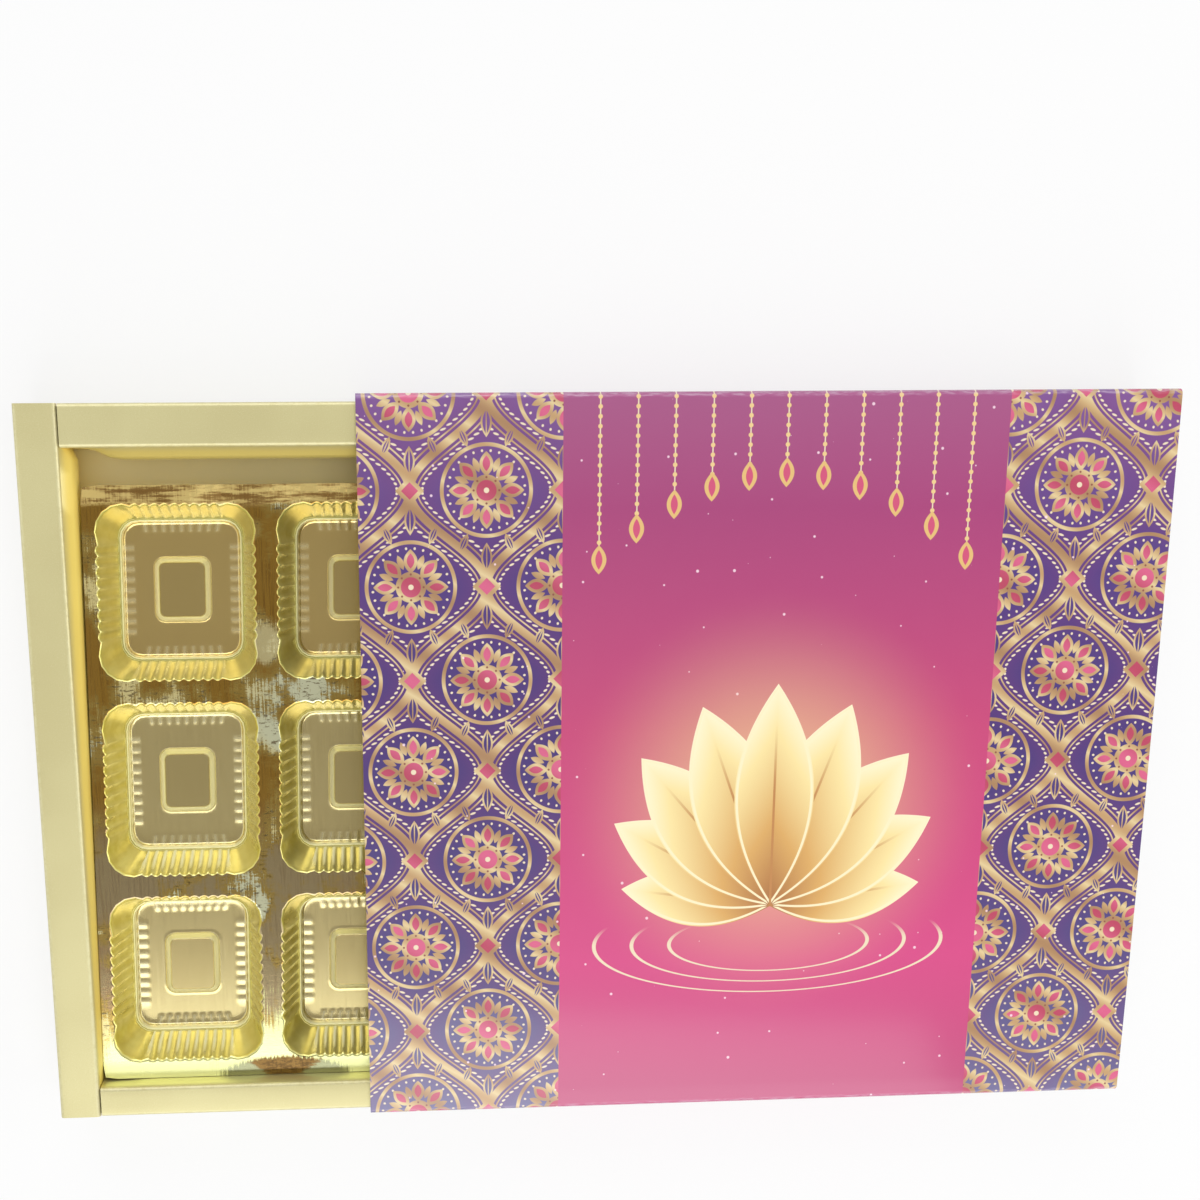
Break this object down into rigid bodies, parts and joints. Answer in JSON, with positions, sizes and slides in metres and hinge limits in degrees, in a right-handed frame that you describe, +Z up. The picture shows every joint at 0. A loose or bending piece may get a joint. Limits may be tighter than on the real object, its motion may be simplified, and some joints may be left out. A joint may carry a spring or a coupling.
{
  "type": "sliding chocolate box",
  "caption": "Flat chocolate gift box: a printed board sleeve slides over a pale gold board tray with hollow walls, which holds a gold formed insert of fluted cells.",
  "frame": {"origin": "centre of the sleeve's underside, on the surface that the box lies on", "axes": "+X along the slide, away from the side where the tray draws out; +Y across the box towards the glued back panel; +Z up, out of the cells"},
  "size_m": [0.259, 0.1678, 0.0215],
  "materials": {
    "printed_board": "gloss",
    "pearl_board": "satin",
    "gold_sheet": "gloss"
  },
  "bodies": {
    "sleeve": {"sleeve": "printed_board"},
    "tray": {"tray_floor": "pearl_board", "long_wall_front": "pearl_board", "long_wall_back": "pearl_board", "end_wall_left": "pearl_board", "end_wall_right": "pearl_board", "cavity_insert": "gold_sheet"}
  },
  "joints": [
    {"name": "tray_slide", "type": "slide", "parent": "sleeve", "child": "tray", "axis": [-1, 0, 0], "range_m": [-0.074, 0.111]}
  ]
}
